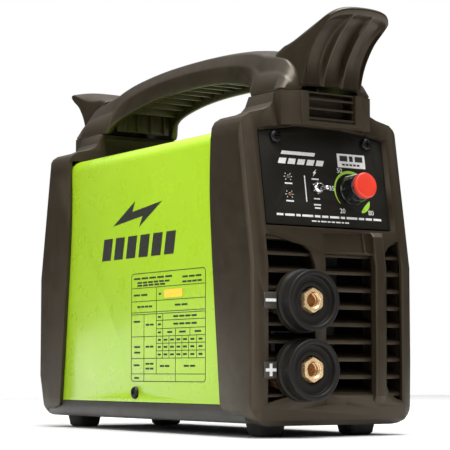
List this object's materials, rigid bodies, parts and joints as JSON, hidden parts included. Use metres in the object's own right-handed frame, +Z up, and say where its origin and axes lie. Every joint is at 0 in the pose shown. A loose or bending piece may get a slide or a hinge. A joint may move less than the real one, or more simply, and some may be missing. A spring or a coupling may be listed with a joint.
{
  "type": "stick welding inverter",
  "caption": "Portable stick welding inverter: green sheet cover between dark moulded end bezels, carry handle with two cable horns, tilted control panel, louvred front with two welding sockets.",
  "frame": {"origin": "on the floor, under the middle of the machine", "axes": "+Z up, -Y towards the control panel and sockets, +X to the right of a person facing the control panel"},
  "size_m": [0.13, 0.3753, 0.279],
  "materials": {
    "casing_plastic": "fine spark-eroded texture, satin",
    "green_paint": "smooth gloss powder coat",
    "black_sheet": "satin black powder coat",
    "panel_black": "satin printed overlay",
    "foot_rubber": "matte moulded rubber",
    "black_steel": "black oxide",
    "knob_black": "gloss",
    "knob_red": "satin gloss",
    "zinc_steel": "zinc plated",
    "chrome_plate": "bright nickel plate",
    "green_lens": "clear lens, unlit",
    "amber_lens": "clear lens, unlit",
    "brass_contact": "turned brass",
    "copper": "bare and enamelled copper",
    "fan_plastic": "satin black glass-filled nylon",
    "circuit_board": "green solder mask",
    "heat_sink_aluminium": "extruded, clear anodised",
    "epoxy_black": "moulded epoxy",
    "capacitor_sleeve": "shrink sleeve",
    "ferrite": "ground ferrite",
    "winding_tape": "polyester tape over windings"
  },
  "bodies": {
    "case": {"front_bezel": "casing_plastic", "rear_bezel": "casing_plastic", "front_louvres": "casing_plastic", "neck_louvres_front": "casing_plastic", "neck_louvres_rear": "casing_plastic", "handle": "casing_plastic", "cable_horn_front": "casing_plastic", "cable_horn_rear": "casing_plastic", "socket_minus": "casing_plastic", "socket_plus": "casing_plastic", "socket_nut_minus": "casing_plastic", "socket_nut_plus": "casing_plastic", "cover": "green_paint", "base_tray": "black_sheet", "polarity_tile_minus": "black_sheet", "polarity_tile_plus": "black_sheet", "control_panel": "panel_black", "foot_front_left": "foot_rubber", "foot_front_right": "foot_rubber", "foot_rear_left": "foot_rubber", "foot_rear_right": "foot_rubber", "cover_screw_left": "black_steel", "cover_screw_right": "black_steel", "panel_screw_left": "black_steel", "panel_screw_right": "black_steel", "rocker_housing": "knob_black", "cord_gland": "knob_black", "gland_nut": "knob_black", "potentiometer": "zinc_steel", "potentiometer_nut": "zinc_steel", "toggle_body": "chrome_plate", "toggle_nut": "chrome_plate", "power_lamp": "green_lens", "alarm_lamp": "amber_lens", "contact_minus": "brass_contact", "contact_plus": "brass_contact", "bus_bar_minus": "copper", "bus_bar_plus": "copper", "output_choke": "copper", "fan_frame": "fan_plastic", "fan_guard": "fan_plastic", "control_board": "circuit_board", "main_board": "circuit_board", "heat_sink_primary": "heat_sink_aluminium", "heat_sink_secondary": "heat_sink_aluminium", "switch_transistor": "epoxy_black", "output_diode": "epoxy_black", "bridge_rectifier": "epoxy_black", "ribbon_cable": "epoxy_black", "capacitor_front": "capacitor_sleeve", "capacitor_rear": "capacitor_sleeve", "transformer_core": "ferrite", "transformer_winding": "winding_tape"},
    "knob": {"knob_body": "knob_black", "knob_cap": "knob_red", "knob_shaft": "zinc_steel"},
    "toggle": {"toggle_lever": "chrome_plate"},
    "rocker": {"power_rocker": "knob_black"},
    "fan": {"fan_rotor": "fan_plastic"}
  },
  "joints": [
    {"name": "current_knob_turn", "type": "hinge", "parent": "case", "child": "knob", "pos_m": [0.0208, -0.14362, 0.1635], "axis": [0, 0.9877, -0.1564], "range_deg": [-120, 160]},
    {"name": "mode_toggle_flip", "type": "hinge", "parent": "case", "child": "toggle", "pos_m": [-0.0079, -0.14507, 0.16393], "axis": [-1, 0, 0], "range_deg": [0, 24]},
    {"name": "power_rocker_tilt", "type": "hinge", "parent": "case", "child": "rocker", "pos_m": [-0.02, 0.14681, 0.15655], "axis": [1, 0, 0], "range_deg": [0, 20]},
    {"name": "fan_spin", "type": "hinge", "parent": "case", "child": "fan", "pos_m": [0, 0.137, 0.074], "axis": [0, 1, 0], "continuous": true}
  ]
}
